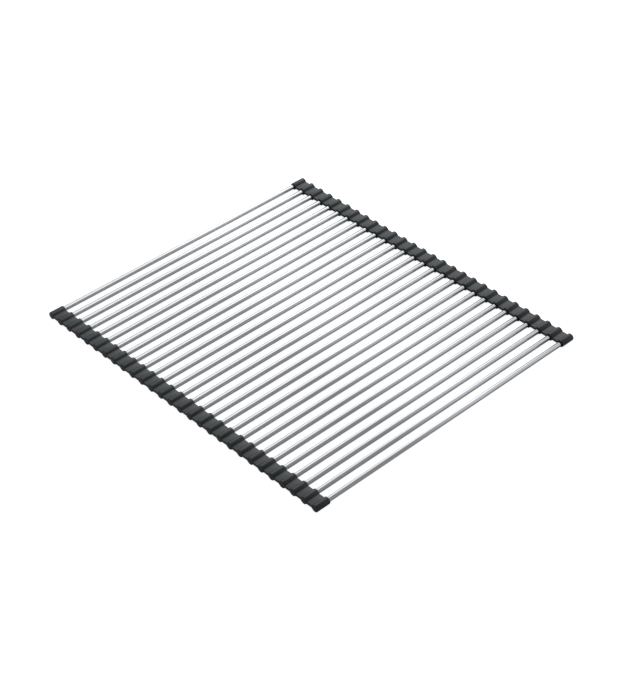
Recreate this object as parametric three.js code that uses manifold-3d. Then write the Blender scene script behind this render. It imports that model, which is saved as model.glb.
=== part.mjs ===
// Roll up dish drying rack: stainless tubes, held at both ends by two bending silicone strips.
// Millimetres, +Z up. The strips run along X and the tubes along Y. The rack lies flat on z = 0,
// with its middle over the origin.
import * as THREE from 'three';
import { mergeVertices } from 'three/addons/utils/BufferGeometryUtils.js';
import Module from 'manifold-3d';

const wasm = await Module();
wasm.setup();

// The rack
const rackWidth = 402;
const tubeCount = 28;
const tubePitch = 16.4;

// The tubes
const tubeDiameter = 6;
const tubeWall = 0.5;

// The sleeves, which are the strips' sockets for the tubes' ends
const sleeveDiameter = 9;
const sleeveLength = 18.5;
const sleeveEndWall = 1.5;
const sleeveEndChamfer = 0.6;

// The webs, which join neighbouring sleeves and bend when the rack is rolled up
const webThickness = 3.2;
const webDrop = 0.4;
const webInset = 0.2;

// The fits. Each strip is one moulding, shown in lengths of two sleeves, cut at mid web.
const socketClearance = 0.3;
const socketEndClearance = 0.3;
const stripCutGap = 0.3;
const cutOverrun = 1;
const sleevesPerLength = 2;

// Round pieces have flat sides, one of them straight down, at the stated radius
const roundSides = 12;
const halfSideAngle = Math.PI / roundSides;
const cornerRadius = (flatRadius) => flatRadius / Math.cos(halfSideAngle);

// Places that follow from the sizes
const sleeveRadius = sleeveDiameter / 2;
const tubeRadius = tubeDiameter / 2;
const axisHeight = sleeveRadius;
const webHeight = axisHeight - webDrop;
const socketRadius = tubeRadius + socketClearance;
const tubeLength = rackWidth - 2 * (sleeveEndWall + socketEndClearance);
const tubeX = (index) => (index - (tubeCount - 1) / 2) * tubePitch;

const steel = () => new THREE.MeshStandardMaterial({ color: 0xb9bcbf, roughness: 0.2, metalness: 1 });
const silicone = () => new THREE.MeshStandardMaterial({ color: 0x33373a, roughness: 0.6, metalness: 0 });

// A closed geometry as a solid that can be joined and cut. Triangles that shrink to a line on
// the axis of a turned shape are left out.
const toSolid = (geometry) => {
  const bare = geometry.clone();
  bare.deleteAttribute('normal');
  bare.deleteAttribute('uv');
  const merged = mergeVertices(bare);
  const corners = merged.index.array;
  const kept = [];
  for (let first = 0; first < corners.length; first += 3) {
    const [a, b, c] = corners.slice(first, first + 3);
    if (a !== b && b !== c && c !== a) kept.push(a, b, c);
  }
  return new wasm.Manifold(new wasm.Mesh({
    numProp: 3,
    vertProperties: Float32Array.from(merged.attributes.position.array),
    triVerts: Uint32Array.from(kept),
  }));
};

const toGeometry = (solid) => {
  const mesh = solid.getMesh();
  const geometry = new THREE.BufferGeometry();
  geometry.setAttribute('position', new THREE.BufferAttribute(mesh.vertProperties, 3));
  geometry.setIndex(new THREE.BufferAttribute(mesh.triVerts, 1));
  geometry.computeVertexNormals();
  return geometry;
};

// A shape turned round the Y axis from a profile of [radius of the flats, y]
const turned = (profile) => {
  const points = profile.map(([radius, y]) => new THREE.Vector2(cornerRadius(radius), y));
  return new THREE.LatheGeometry(points, roundSides, halfSideAngle);
};

// A hollow tube, open at both ends
const tubeGeometry = () => {
  const boreRadius = tubeRadius - tubeWall;
  const end = tubeLength / 2;
  return turned([
    [boreRadius, -end],
    [tubeRadius, -end],
    [tubeRadius, end],
    [boreRadius, end],
    [boreRadius, -end],
  ]);
};

// A sleeve without its socket. Its outer end is at y = 0 and it runs towards +Y.
const sleeveSolid = (x) => {
  const blank = turned([
    [0, 0],
    [sleeveRadius - sleeveEndChamfer, 0],
    [sleeveRadius, sleeveEndChamfer],
    [sleeveRadius, sleeveLength],
    [0, sleeveLength],
  ]);
  blank.translate(x, 0, axisHeight);
  return toSolid(blank);
};

// The blind socket that holds the tube's end, open towards +Y
const socketSolid = (x) => {
  const depth = sleeveLength - sleeveEndWall + cutOverrun;
  const cutter = turned([
    [0, sleeveEndWall],
    [socketRadius, sleeveEndWall],
    [socketRadius, sleeveEndWall + depth],
    [0, sleeveEndWall + depth],
  ]);
  cutter.translate(x, 0, axisHeight);
  return toSolid(cutter);
};

// The flat web from one x to another
const webSolid = (fromX, toX) => {
  const webLength = sleeveLength - 2 * webInset;
  const slab = new THREE.BoxGeometry(toX - fromX, webLength, webThickness);
  slab.translate((fromX + toX) / 2, sleeveLength / 2, webHeight);
  return toSolid(slab);
};

// One length of strip: its sleeves, the web between them, and half of each web that leads on
const stripLengthGeometry = (sleeves, leadsOnLow, leadsOnHigh) => {
  const halfWeb = (tubePitch - stripCutGap) / 2;
  const firstX = -(sleeves - 1) * tubePitch / 2;
  const lastX = firstX + (sleeves - 1) * tubePitch;
  const fromX = leadsOnLow ? firstX - halfWeb : firstX;
  const toX = leadsOnHigh ? lastX + halfWeb : lastX;
  let solid = sleeveSolid(firstX);
  if (toX > fromX) solid = solid.add(webSolid(fromX, toX));
  for (let sleeve = 1; sleeve < sleeves; sleeve += 1) {
    solid = solid.add(sleeveSolid(firstX + sleeve * tubePitch));
  }
  for (let sleeve = 0; sleeve < sleeves; sleeve += 1) {
    solid = solid.subtract(socketSolid(firstX + sleeve * tubePitch));
  }
  return toGeometry(solid);
};

const named = (name, geometry, material) => {
  const mesh = new THREE.Mesh(geometry, material);
  mesh.name = name;
  return mesh;
};

const numbered = (name, index) => `${name}_${String(index + 1).padStart(2, '0')}`;

const tubes = () => {
  const group = new THREE.Group();
  for (let index = 0; index < tubeCount; index += 1) {
    const tube = named(numbered('tube', index), tubeGeometry(), steel());
    tube.position.set(tubeX(index), 0, axisHeight);
    group.add(tube);
  }
  return group;
};

// One strip, built in lengths along X. The far one is the near one turned half round.
const strip = (name, isFar) => {
  const group = new THREE.Group();
  const lengths = Math.ceil(tubeCount / sleevesPerLength);
  for (let index = 0; index < lengths; index += 1) {
    const firstTube = index * sleevesPerLength;
    const sleeves = Math.min(sleevesPerLength, tubeCount - firstTube);
    const lastTube = firstTube + sleeves - 1;
    const leadsBack = firstTube > 0;
    const leadsOn = lastTube < tubeCount - 1;
    const shape = isFar
      ? stripLengthGeometry(sleeves, leadsOn, leadsBack)
      : stripLengthGeometry(sleeves, leadsBack, leadsOn);
    const length = named(numbered(name, index), shape, silicone());
    length.position.set((tubeX(firstTube) + tubeX(lastTube)) / 2, (isFar ? 1 : -1) * rackWidth / 2, 0);
    length.rotation.z = isFar ? Math.PI : 0;
    group.add(length);
  }
  return group;
};

const rack = new THREE.Group();
rack.name = 'roll_up_dish_drying_rack';
rack.add(tubes());
rack.add(strip('near_strip', false));
rack.add(strip('far_strip', true));

export default rack;
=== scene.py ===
# Roll up dish drying rack: 28 stainless tubes, held at both ends by moulded silicone strips.
# The strips run along X and the tubes along Y. Metres, +Z up, the rack flat on z = 0.
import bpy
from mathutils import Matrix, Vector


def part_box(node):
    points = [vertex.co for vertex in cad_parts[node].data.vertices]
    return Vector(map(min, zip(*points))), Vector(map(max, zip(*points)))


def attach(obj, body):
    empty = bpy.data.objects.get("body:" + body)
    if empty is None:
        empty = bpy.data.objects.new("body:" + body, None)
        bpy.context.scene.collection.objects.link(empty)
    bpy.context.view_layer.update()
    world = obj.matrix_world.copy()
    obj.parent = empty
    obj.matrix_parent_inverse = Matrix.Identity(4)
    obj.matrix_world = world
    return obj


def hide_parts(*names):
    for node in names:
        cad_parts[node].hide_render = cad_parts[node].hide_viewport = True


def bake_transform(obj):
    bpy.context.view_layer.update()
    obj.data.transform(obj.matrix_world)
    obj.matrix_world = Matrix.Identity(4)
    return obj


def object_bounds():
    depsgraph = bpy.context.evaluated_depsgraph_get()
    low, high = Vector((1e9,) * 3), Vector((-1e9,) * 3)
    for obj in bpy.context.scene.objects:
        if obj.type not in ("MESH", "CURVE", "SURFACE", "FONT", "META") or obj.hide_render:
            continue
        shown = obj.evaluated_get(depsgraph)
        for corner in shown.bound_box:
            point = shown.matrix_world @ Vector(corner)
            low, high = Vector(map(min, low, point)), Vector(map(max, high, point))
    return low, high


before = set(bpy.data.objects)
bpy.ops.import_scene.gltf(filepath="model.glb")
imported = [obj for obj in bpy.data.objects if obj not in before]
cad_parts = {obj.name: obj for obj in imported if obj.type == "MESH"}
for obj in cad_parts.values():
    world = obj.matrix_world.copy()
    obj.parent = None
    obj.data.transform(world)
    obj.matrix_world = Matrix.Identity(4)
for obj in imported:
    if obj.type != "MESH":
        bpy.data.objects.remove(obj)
cad_box = [list(corner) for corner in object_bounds()]

import math

import bmesh
import bpy
from mathutils import Matrix, Quaternion, Vector


# The tubes: thin stainless tubes, drawn, polished and cut to one length, with their sharp edges
# taken off. Their ends are pushed into the strips' sockets, and only the silicone's grip holds them.
tube_count = len([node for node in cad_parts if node.startswith("tube_")])
tube_low, tube_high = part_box("tube_01")
tube_radius = (tube_high.z - tube_low.z) / 2
tube_wall = 0.0005
tube_length = tube_high.y - tube_low.y
tube_height = (tube_high.z + tube_low.z) / 2
tube_rim = 0.00012
tube_sides, tube_rim_steps = 56, 2
steel_dull, steel_bright = (0.56, 0.57, 0.58), (0.65, 0.66, 0.675)
steel_roughness, lines_roughness, clouds_roughness = 0.05, 0.06, 0.03
lines_share, clouds_share = 0.55, 0.45
lines_per_metre, clouds_per_metre = (2600.0, 14.0, 2600.0), (55.0, 21.0, 55.0)
lines_depth, lines_strength = 0.00002, 0.25
# Places nearer than this are one place, a face looks along an axis when that much of its normal
# does, and edges under this angle are smooth.
same_place, facing, smooth_angle = 1e-5, 0.9, math.radians(40)


def slat_x(number):
    """Where along the strips a tube lies, by its number from 1."""
    low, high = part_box(f"tube_{number:02d}")
    return (low.x + high.x) / 2


def start_shaping(piece_name):
    """Names the primitive just added, puts its place in its mesh and opens it in edit mode."""
    piece = bpy.context.active_object
    piece.name = piece.data.name = piece_name
    bpy.ops.object.transform_apply(location=True, rotation=True, scale=True)
    bpy.ops.object.mode_set(mode="EDIT")
    return piece


def pick_faces(wanted):
    """Selects the faces of the shape in hand for which wanted(middle, normal) is true."""
    bpy.ops.mesh.select_mode(type="FACE")
    bpy.ops.mesh.select_all(action="DESELECT")
    shape = bmesh.from_edit_mesh(bpy.context.edit_object.data)
    for face in shape.faces:
        face.select_set(wanted(face.calc_center_median(), face.normal))
    bmesh.update_edit_mesh(bpy.context.edit_object.data)


def pick_edges(wanted):
    """Selects the edges of the shape in hand for which wanted(one end, other end) is true."""
    bpy.ops.mesh.select_mode(type="EDGE")
    bpy.ops.mesh.select_all(action="DESELECT")
    shape = bmesh.from_edit_mesh(bpy.context.edit_object.data)
    for edge in shape.edges:
        if wanted(edge.verts[0].co, edge.verts[1].co):
            edge.select_set(True)
    bmesh.update_edit_mesh(bpy.context.edit_object.data)


def end_shaping():
    """Turns all faces outwards, closes edit mode and smooths all but the sharp edges."""
    bpy.ops.mesh.select_all(action="SELECT")
    bpy.ops.mesh.normals_make_consistent(inside=False)
    bpy.ops.object.mode_set(mode="OBJECT")
    bpy.ops.object.shade_smooth_by_angle(angle=smooth_angle)


def copy_of(model, copy_name, x, half_turn=False):
    """A copy of a shape modelled at x = 0, moved to x, and for the far strip turned half round."""
    piece = model.copy()
    piece.data = model.data.copy()
    piece.name = piece.data.name = copy_name
    turn = Matrix.Rotation(math.pi if half_turn else 0, 4, "Z")
    piece.data.transform(Matrix.Translation((x, 0, 0)) @ turn)
    bpy.context.collection.objects.link(piece)
    return piece


class Reading:
    """A number, colour or vector in a material, so that sums on it are written as sums."""

    def __init__(self, tree, socket):
        self.tree = tree
        self.socket = socket

    @classmethod
    def node(cls, tree, kind, settings=(), sockets=(), output=0):
        """Adds a node with its settings, then with values or readings on its sockets."""
        made = tree.nodes.new(kind)
        for setting, value in dict(settings).items():
            setattr(made, setting, value)
        for socket, value in dict(sockets).items():
            if isinstance(value, Reading):
                tree.links.new(value.socket, made.inputs[socket])
            else:
                made.inputs[socket].default_value = value
        return cls(tree, made.outputs[output])

    def worked(self, operation, first, second):
        return self.node(self.tree, "ShaderNodeMath", {"operation": operation}, {0: first, 1: second})

    def __add__(self, other):
        return self.worked("ADD", self, other)

    __radd__ = __add__

    def __mul__(self, other):
        return self.worked("MULTIPLY", self, other)

    __rmul__ = __mul__


def grain(tree, per_metre, detail=2.0, roughness=0.5):
    """Noise from 0 to 1 through the piece, with that many lumps per metre along X, Y and Z."""
    place = Reading.node(tree, "ShaderNodeTexCoord", output="Object")
    scaled = Reading.node(
        tree, "ShaderNodeMapping", {"vector_type": "POINT"}, {"Vector": place, "Scale": per_metre}
    )
    return Reading.node(
        tree,
        "ShaderNodeTexNoise",
        {"noise_dimensions": "3D"},
        {"Vector": scaled, "Scale": 1.0, "Detail": detail, "Roughness": roughness},
    )


def between(factor, low_colour, high_colour):
    """A colour part of the way from one to another, in linear light."""
    return Reading.node(
        factor.tree,
        "ShaderNodeMix",
        {"data_type": "RGBA"},
        {0: factor, 6: (*low_colour, 1.0), 7: (*high_colour, 1.0)},
        output=2,
    )


def polished_steel():
    """Drawn and polished tube: fine lines along its length, and faint clouding in the polish."""
    finish = bpy.data.materials.new("polished_steel")
    finish.use_nodes = True
    tree = finish.node_tree
    surface = tree.nodes["Principled BSDF"]
    draw_lines = grain(tree, lines_per_metre, detail=3.0, roughness=0.6)
    clouding = grain(tree, clouds_per_metre)
    tone = draw_lines * lines_share + clouding * clouds_share
    colour = between(tone, steel_dull, steel_bright)
    roughness = steel_roughness + draw_lines * lines_roughness + clouding * clouds_roughness
    lines = Reading.node(
        tree,
        "ShaderNodeBump",
        {},
        {"Strength": lines_strength, "Distance": lines_depth, "Height": draw_lines},
    )
    surface.inputs["Metallic"].default_value = 1.0
    tree.links.new(colour.socket, surface.inputs["Base Color"])
    tree.links.new(roughness.socket, surface.inputs["Roughness"])
    tree.links.new(lines.socket, surface.inputs["Normal"])
    return finish


bpy.ops.object.select_all(action="DESELECT")
bpy.ops.mesh.primitive_cylinder_add(
    vertices=tube_sides,
    radius=tube_radius,
    depth=tube_length,
    location=(0, 0, tube_height),
    rotation=(math.radians(90), 0, 0),
)
tube_model = start_shaping("tube_model")
pick_faces(lambda middle, normal: abs(normal.y) > facing)
bpy.ops.mesh.inset(thickness=tube_wall, use_individual=True)
bpy.ops.mesh.delete(type="FACE")
bpy.ops.mesh.select_mode(type="EDGE")
bpy.ops.mesh.select_all(action="DESELECT")
bpy.ops.mesh.select_non_manifold()
bpy.ops.mesh.bridge_edge_loops()
pick_edges(lambda a, b: abs(a.y - b.y) < same_place)
bpy.ops.mesh.bevel(offset=tube_rim, segments=tube_rim_steps, affect="EDGES")
end_shaping()
tube_model.data.materials.clear()
tube_model.data.materials.append(polished_steel())

for number in range(1, tube_count + 1):
    tube = copy_of(tube_model, f"steel_tube_{number:02d}", slat_x(number))
    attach(tube, f"slat_{number:02d}")
    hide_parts(f"tube_{number:02d}")
bpy.data.objects.remove(tube_model)


# The sleeves: the parts of each silicone strip that hold the tubes' ends. Each is a round blind
# socket with a soft rim, moulded in one with the webs beside it.
strip_end = cad_box[1][1]
sleeve_radius = tube_height
sleeve_length = 0.0185
sleeve_end_wall = 0.0015
socket_slack = 0.0001
socket_radius = tube_radius + socket_slack
sleeve_rim = 0.0007
mouth_rim = 0.00045
socket_rim = 0.0002
sleeve_sides, sleeve_rim_steps = 48, 4
silicone_dark, silicone_light = (0.004, 0.010, 0.013), (0.008, 0.015, 0.019)
silicone_roughness, mottles_roughness, grain_roughness = 0.25, 0.06, 0.06
silicone_gloss = 0.47
mottles_share, grain_share = 0.7, 0.3
mottles_per_metre, grains_per_metre = (120.0, 120.0, 120.0), (3200.0, 3200.0, 3200.0)
grain_depth, grain_strength = 0.00003, 0.2


def moulded_silicone():
    """Charcoal silicone with the matt grain of its mould, in faintly uneven tone."""
    finish = bpy.data.materials.new("moulded_silicone")
    finish.use_nodes = True
    tree = finish.node_tree
    surface = tree.nodes["Principled BSDF"]
    mottling = grain(tree, mottles_per_metre, detail=3.0)
    mould_grain = grain(tree, grains_per_metre, detail=2.0, roughness=0.6)
    tone = mottling * mottles_share + mould_grain * grain_share
    colour = between(tone, silicone_dark, silicone_light)
    roughness = silicone_roughness + mottling * mottles_roughness + mould_grain * grain_roughness
    grained = Reading.node(
        tree,
        "ShaderNodeBump",
        {},
        {"Strength": grain_strength, "Distance": grain_depth, "Height": mould_grain},
    )
    surface.inputs["Specular IOR Level"].default_value = silicone_gloss
    tree.links.new(colour.socket, surface.inputs["Base Color"])
    tree.links.new(roughness.socket, surface.inputs["Roughness"])
    tree.links.new(grained.socket, surface.inputs["Normal"])
    return finish


silicone = moulded_silicone()
bpy.ops.object.select_all(action="DESELECT")
bpy.ops.mesh.primitive_cylinder_add(
    vertices=sleeve_sides,
    radius=sleeve_radius,
    depth=sleeve_length,
    location=(0, sleeve_length / 2 - strip_end, tube_height),
    rotation=(math.radians(90), 0, 0),
)
sleeve_model = start_shaping("sleeve_model")
mouth_y = sleeve_length - strip_end
pick_faces(lambda middle, normal: normal.y > facing)
bpy.ops.mesh.inset(thickness=sleeve_radius - socket_radius)
bpy.ops.mesh.extrude_region_move(
    TRANSFORM_OT_translate={"value": (0, sleeve_end_wall - sleeve_length, 0)}
)


def is_ring(a, b, y, radius):
    """True for an edge of the ring of that radius round the tube's axis, at that y."""
    return all(
        abs(end.y - y) < same_place
        and abs(math.hypot(end.x, end.z - tube_height) - radius) < same_place
        for end in (a, b)
    )


for ring_y, ring_radius, rim in (
    (-strip_end, sleeve_radius, sleeve_rim),
    (mouth_y, sleeve_radius, mouth_rim),
    (mouth_y, socket_radius, socket_rim),
):
    pick_edges(lambda a, b: is_ring(a, b, ring_y, ring_radius))
    bpy.ops.mesh.bevel(offset=rim, segments=sleeve_rim_steps, affect="EDGES")
end_shaping()
sleeve_model.data.materials.clear()
sleeve_model.data.materials.append(silicone)

for number in range(1, tube_count + 1):
    for side in ("near", "far"):
        sleeve = copy_of(
            sleeve_model, f"{side}_sleeve_{number:02d}", slat_x(number), half_turn=side == "far"
        )
        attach(sleeve, f"slat_{number:02d}")
        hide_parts(f"{side}_strip_{(number + 1) // 2:02d}")
bpy.data.objects.remove(sleeve_model)


# The webs: the flat lengths of silicone from sleeve to sleeve, moulded in one with them. They are
# thinner than the sleeves and run into them with round fillets; the real ones bend as the rack rolls up.
web_top = 0.0013
web_bottom = -0.0019
web_inset = 0.0002
web_edge, web_edge_steps = 0.0005, 3
web_cuts = 5
pitch = slat_x(2) - slat_x(1)
web_y = sleeve_length / 2 - strip_end
half_length = sleeve_length / 2 - web_inset
# The fillet's radius, its steps' distances from the tube's axis, what each step adds to the web's
# length at each end, and the distance inside which the web stays below the sleeve's surface.
web_fillet = 0.0011
fillet_places = (0.0051, 0.0047, 0.0044, 0.00418, 0.00395, 0.0036)
fillet_flare = (0.0, 0.00004, 0.0001, 0.00018, 0.00026, 0.00034)
web_root = 0.0037


def fillet_height(flat, from_axis):
    """Height above the tube's axis of a web's face, where it runs up or down into the sleeve."""
    side = 1 if flat > 0 else -1
    middle_height = abs(flat) + web_fillet
    middle = math.sqrt((sleeve_radius + web_fillet) ** 2 - middle_height ** 2)
    if from_axis >= middle:
        return flat
    rise = math.sqrt(max(web_fillet ** 2 - (middle - from_axis) ** 2, 0))
    if from_axis > web_root:
        return side * (middle_height - rise)
    sleeve_height = math.sqrt(sleeve_radius ** 2 - from_axis ** 2)
    return side * min(middle_height - rise, sleeve_height - same_place)


bpy.ops.object.select_all(action="DESELECT")
flat_half = pitch / 2 - fillet_places[0]
bpy.ops.mesh.primitive_cube_add(
    size=1,
    location=(flat_half / 2, web_y, tube_height + (web_top + web_bottom) / 2),
    scale=(flat_half, 2 * half_length, web_top - web_bottom),
)
web_model = start_shaping("web_model")
pick_edges(lambda a, b: abs(a.x - b.x) > flat_half / 2)
bpy.ops.mesh.subdivide(number_cuts=web_cuts)
pick_faces(lambda middle, normal: normal.x < -facing)
bpy.ops.mesh.delete(type="FACE")
pick_faces(lambda middle, normal: normal.x > facing)
last_place, last_flare = fillet_places[0], fillet_flare[0]
for place, flare in zip(fillet_places[1:], fillet_flare[1:]):
    last_top, last_bottom = fillet_height(web_top, last_place), fillet_height(web_bottom, last_place)
    top, bottom = fillet_height(web_top, place), fillet_height(web_bottom, place)
    lift = (top + bottom - last_top - last_bottom) / 2
    bpy.ops.mesh.extrude_region_move(
        TRANSFORM_OT_translate={"value": (last_place - place, 0, lift)}
    )
    bpy.ops.transform.resize(
        value=(
            1,
            (half_length + flare) / (half_length + last_flare),
            (top - bottom) / (last_top - last_bottom),
        ),
        center_override=(pitch / 2 - place, web_y, tube_height + (top + bottom) / 2),
    )
    last_place, last_flare = place, flare
pick_edges(
    lambda a, b: abs(a.x - b.x) > same_place
    and min(abs(a.y - web_y), abs(b.y - web_y)) > half_length - same_place
)
bpy.ops.mesh.bevel(offset=web_edge, segments=web_edge_steps, affect="EDGES")
bpy.ops.object.mode_set(mode="OBJECT")
bpy.ops.object.modifier_add(type="MIRROR")
bpy.ops.object.modifier_apply(modifier="Mirror")
bpy.ops.object.mode_set(mode="EDIT")
bpy.ops.mesh.select_all(action="SELECT")
bpy.ops.mesh.remove_doubles(threshold=same_place)
end_shaping()
web_model.data.materials.clear()
web_model.data.materials.append(silicone)

for number in range(1, tube_count):
    first_x, next_x = slat_x(number), slat_x(number + 1)
    for side in ("near", "far"):
        web = copy_of(
            web_model, f"{side}_web_{number:02d}", (first_x + next_x) / 2, half_turn=side == "far"
        )
        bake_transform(web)
        strips = sorted({(number + 1) // 2, (number + 2) // 2})
        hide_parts(*[f"{side}_strip_{strip:02d}" for strip in strips])
bpy.data.objects.remove(web_model)


# The floor: a plain matt sheet under the rack. It is grey to the light, and adds enough white of
# its own that the camera sees it white apart from the rack's shadow.
floor_size, floor_grey = 12, (0.5, 0.5, 0.5, 1)
white_to_camera, white_to_gloss = 0.9, 0.05
bpy.ops.object.select_all(action="DESELECT")
bpy.ops.mesh.primitive_plane_add(size=floor_size, location=(0, 0, 0))
floor = bpy.context.active_object
floor.name = "floor"
floor_finish = bpy.data.materials.new("floor")
floor_finish.use_nodes = True
tree = floor_finish.node_tree
sheet = tree.nodes["Principled BSDF"]
sheet.inputs["Base Color"].default_value = floor_grey
sheet.inputs["Roughness"].default_value = 1.0
sheet.inputs["Specular IOR Level"].default_value = 0.0
camera_ray = Reading.node(tree, "ShaderNodeLightPath", output="Is Camera Ray")
glossy_ray = Reading.node(tree, "ShaderNodeLightPath", output="Is Glossy Ray")
white = camera_ray * white_to_camera + glossy_ray * white_to_gloss
white_part = Reading.node(tree, "ShaderNodeEmission", {}, {"Color": (1, 1, 1, 1), "Strength": white})
grey_part = Reading(tree, sheet.outputs["BSDF"])
both = Reading.node(tree, "ShaderNodeAddShader", {}, {0: grey_part, 1: white_part})
tree.links.new(both.socket, tree.nodes["Material Output"].inputs["Surface"])
floor.data.materials.append(floor_finish)


# The light: soft lamps side by side above the rack and to its left, in a front and a back row on
# one turned stand, in a plain grey room that is paler at the back and white only to the camera.
room_front, room_back = (0.36, 0.365, 0.372), (0.80, 0.81, 0.83)
paler_from, palest_from = 0.42, 0.64
stand_middle, stand_turn = Vector((0.05, 0.33, 0)), math.radians(18)
# Each row's name, middle and length along Y, and strength. Then each lamp's name, place along X,
# height, lean in degrees, width and radiance.
lamp_rows = (("front", 0.1, 0.5, 0.86), ("back", 0.8, 0.9, 1.06))
lamps = (
    ("key", -0.05, 0.54, 0, 0.22, 1.3),
    ("top", -0.34, 0.54, 0, 0.36, 1.13),
    ("side", -0.63, 0.43, -50, 0.3, 1.13),
)
world = bpy.data.worlds.new("studio")
bpy.context.scene.world = world
world.use_nodes = True
tree = world.node_tree
room = tree.nodes["Background"]
direction = Reading.node(tree, "ShaderNodeTexCoord", output="Generated")
backward = Reading.node(tree, "ShaderNodeSeparateXYZ", {}, {"Vector": direction}, output="Y")
towards_back = Reading.node(
    tree,
    "ShaderNodeMapRange",
    {"clamp": True},
    {"Value": backward, "From Min": paler_from, "From Max": palest_from, "To Min": 0.0, "To Max": 1.0},
)
grey_room = between(towards_back, room_front, room_back)
camera_ray = Reading.node(tree, "ShaderNodeLightPath", output="Is Camera Ray")
seen_room = Reading.node(
    tree, "ShaderNodeMix", {"data_type": "RGBA"}, {0: camera_ray, 6: grey_room, 7: (1, 1, 1, 1)}, output=2
)
tree.links.new(seen_room.socket, room.inputs["Color"])

lamp_stand = (
    Matrix.Translation(stand_middle)
    @ Matrix.Rotation(stand_turn, 4, "Z")
    @ Matrix.Translation(-stand_middle)
)
for row, row_y, length, strength in lamp_rows:
    for lamp_name, x, height, lean, width, radiance in lamps:
        lamp_data = bpy.data.lights.new(f"{row}_{lamp_name}_lamp", "AREA")
        lamp_data.shape = "RECTANGLE"
        lamp_data.size, lamp_data.size_y = width, length
        lamp_data.energy = radiance * strength * math.pi * width * length
        lamp = bpy.data.objects.new(lamp_data.name, lamp_data)
        bpy.context.collection.objects.link(lamp)
        place = Matrix.Translation((x, row_y, height)) @ Matrix.Rotation(math.radians(lean), 4, "Y")
        lamp.matrix_world = lamp_stand @ place
        lamp.visible_camera = False


# The camera: at the photograph's viewing angle, 47 degrees round and 39 degrees up, 2 m away with
# a long lens. Its sensor is square, and the picture's height sets how much it sees.
camera_turn, camera_rise, camera_roll = map(math.radians, (46.912, 39.188, -0.626))
camera_target = Vector((0.03425, -0.02627, 0.00414))
camera_distance = 1.9923
camera_lens, camera_sensor = 90.744, 36
back = Vector(
    (
        math.sin(camera_turn) * math.cos(camera_rise),
        -math.cos(camera_turn) * math.cos(camera_rise),
        math.sin(camera_rise),
    )
)
bpy.ops.object.camera_add(location=camera_target + back * camera_distance)
camera = bpy.context.active_object
camera.name = "photo_camera"
look = (-back).to_track_quat("-Z", "Y") @ Quaternion((0, 0, 1), camera_roll)
camera.rotation_euler = look.to_euler()
camera.data.sensor_fit = "VERTICAL"
camera.data.sensor_height = camera.data.sensor_width = camera_sensor
camera.data.lens = camera_lens
camera.data.clip_start, camera.data.clip_end = 0.05, 50
bpy.context.scene.camera = camera
bpy.context.scene.view_settings.view_transform = "Standard"
